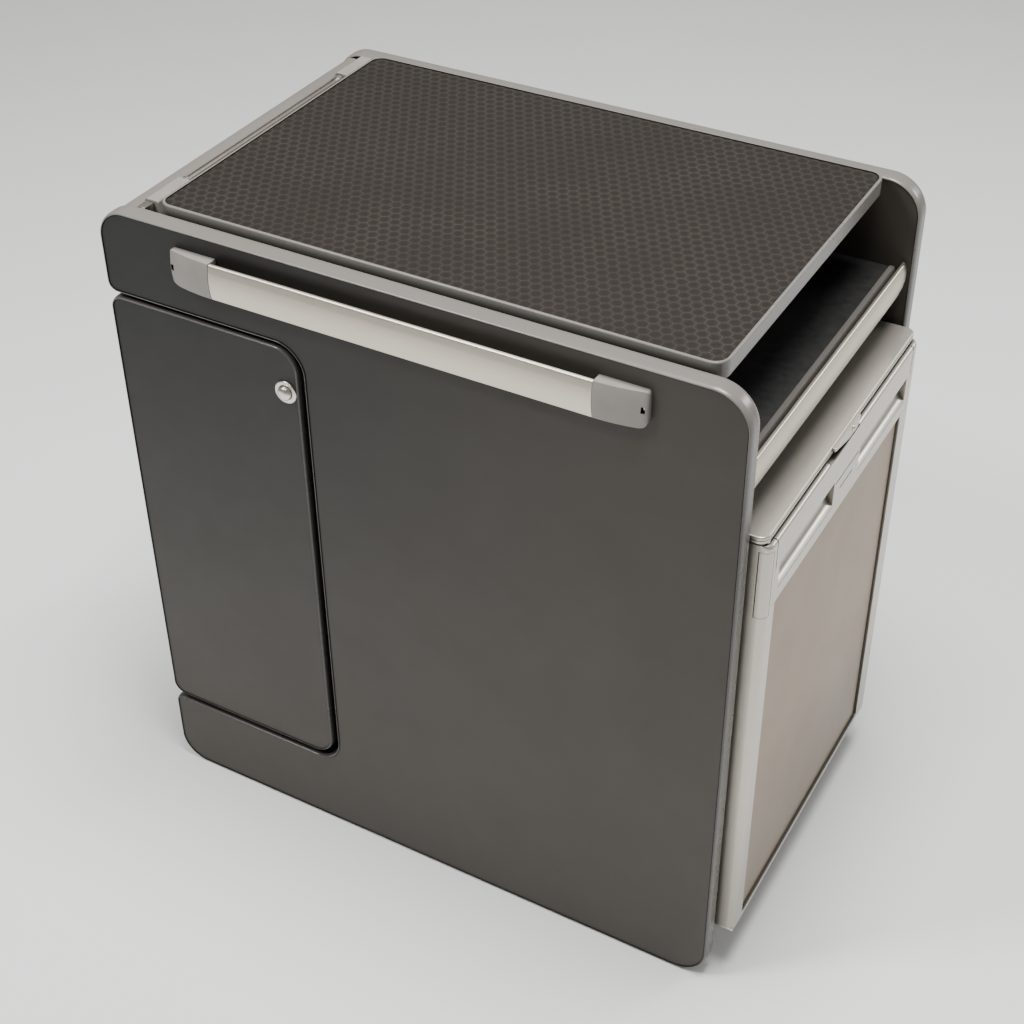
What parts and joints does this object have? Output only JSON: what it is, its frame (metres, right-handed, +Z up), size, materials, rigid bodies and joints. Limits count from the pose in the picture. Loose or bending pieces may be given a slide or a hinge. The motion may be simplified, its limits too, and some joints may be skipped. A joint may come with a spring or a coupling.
{
  "type": "campervan kitchen pod",
  "caption": "Free-standing campervan kitchen pod: dark side panels with grey edge trim, hinged patterned lid over a worktop, side cupboard with push lock, and a built-in fridge.",
  "frame": {"origin": "middle of the whole pod's plan, on the floor that it stands on", "axes": "+X from the lid hinge towards the fridge door, +Y from the cupboard door's side to the other side, +Z up"},
  "size_m": [0.6924, 0.4436, 0.736],
  "materials": {
    "panel_laminate": "dark grey fine-textured laminate on light plywood",
    "lid_laminate": "anthracite laminate with a faint honeycomb pattern",
    "trim_plastic": "grey extruded edge trim",
    "black_board": "black laminated board",
    "aluminium": "satin anodised extrusion",
    "cap_plastic": "grey moulded plastic",
    "zinc_steel": "zinc-plated pressed steel",
    "nickel": "satin nickel plating",
    "fridge_silver": "silver-grey painted plastic",
    "decor_panel": "taupe decor sheet, slightly glossy",
    "dark_rubber": "black glazing seal",
    "seal_grey": "grey magnetic door seal",
    "fridge_white": "white vacuum-formed lining",
    "stainless": "pressed stainless steel",
    "cast_iron": "black enamelled iron",
    "black_plastic": "black moulded plastic"
  },
  "bodies": {
    "cabinet": {"near_side_panel": "panel_laminate", "near_side_trim": "trim_plastic", "far_side_panel": "panel_laminate", "far_side_trim": "trim_plastic", "end_board": "black_board", "end_board_trim": "trim_plastic", "base_board": "black_board", "floor_angle_near": "zinc_steel", "floor_angle_far": "zinc_steel", "divider_board": "black_board", "cupboard_shelf": "black_board", "shelf_board": "black_board", "shelf_edge_trim": "trim_plastic", "table_rail": "aluminium", "front_rail": "aluminium", "rail_cap_left": "cap_plastic", "rail_cap_right": "cap_plastic", "hinge_rod": "aluminium", "hinge_block_near": "cap_plastic", "hinge_block_far": "cap_plastic", "corner_bracket_near": "zinc_steel", "corner_bracket_far": "zinc_steel", "door_hinge_frame_lower": "zinc_steel", "door_hinge_frame_upper": "zinc_steel", "lock_strike": "zinc_steel", "fridge_cabinet": "fridge_silver", "fridge_liner": "fridge_white", "fridge_top_plate": "fridge_silver", "fridge_evaporator": "aluminium", "fridge_wire_shelf": "nickel", "compressor": "black_plastic", "fridge_hinge_bracket": "zinc_steel", "hob_tray": "stainless", "hob_burner": "cast_iron", "pan_support": "cast_iron", "sink_bowl": "stainless", "sink_waste": "stainless", "tap_base": "nickel"},
    "lid": {"lid_board": "lid_laminate", "lid_trim": "trim_plastic", "lid_arm_near": "zinc_steel", "lid_arm_far": "zinc_steel"},
    "cupboard_door": {"cupboard_door_board": "panel_laminate", "cupboard_door_trim": "trim_plastic", "door_hinge_leaf_lower": "zinc_steel", "door_hinge_leaf_upper": "zinc_steel", "lock_rosette": "nickel", "lock_case": "black_plastic"},
    "lock_button": {"lock_button": "nickel"},
    "lock_bolt": {"lock_bolt": "zinc_steel"},
    "fridge_door": {"fridge_door_shell": "fridge_silver", "fridge_fascia": "fridge_silver", "fridge_decor_panel": "decor_panel", "fridge_decor_seal": "dark_rubber", "fridge_door_seal": "seal_grey", "fridge_door_liner": "fridge_white", "fridge_hinge_cover": "fridge_silver"},
    "fridge_latch": {"fridge_latch": "fridge_silver"},
    "hob_knob": {"hob_knob": "black_plastic"},
    "tap_spout": {"tap_spout": "nickel"}
  },
  "joints": [
    {"name": "lid_hinge", "type": "hinge", "parent": "cabinet", "child": "lid", "pos_m": [-0.30875, 0.00675, 0.7225], "axis": [0, -1, 0], "range_deg": [0, 95]},
    {"name": "cupboard_door_hinge", "type": "hinge", "parent": "cabinet", "child": "cupboard_door", "pos_m": [-0.33825, -0.18475, 0.36725], "axis": [0, 0, -1], "range_deg": [0, 100]},
    {"name": "lock_button_push", "type": "slide", "parent": "cupboard_door", "child": "lock_button", "axis": [0, 1, 0], "range_m": [0, 0.005]},
    {"name": "lock_bolt_shoot", "type": "slide", "parent": "cupboard_door", "child": "lock_bolt", "axis": [1, 0, 0], "range_m": [0, 0.0075]},
    {"name": "fridge_door_hinge", "type": "hinge", "parent": "cabinet", "child": "fridge_door", "pos_m": [0.33875, -0.17625, 0.31385], "axis": [0, 0, -1], "range_deg": [0, 110]},
    {"name": "fridge_latch_tilt", "type": "hinge", "parent": "fridge_door", "child": "fridge_latch", "pos_m": [0.34385, -0.00125, 0.5646], "axis": [0, 1, 0], "range_deg": [0, 20]},
    {"name": "hob_knob_turn", "type": "hinge", "parent": "cabinet", "child": "hob_knob", "pos_m": [0.06975, -0.09625, 0.6123], "axis": [0, 0, 1], "range_deg": [0, 180]},
    {"name": "tap_swivel", "type": "hinge", "parent": "cabinet", "child": "tap_spout", "pos_m": [-0.21225, 0.15575, 0.6643], "axis": [0, 0, 1], "range_deg": [-50, 50]}
  ],
  "couplings": [
    {"joint": "lock_bolt_shoot", "follows": "lock_button_push", "ratio": 1.5}
  ]
}
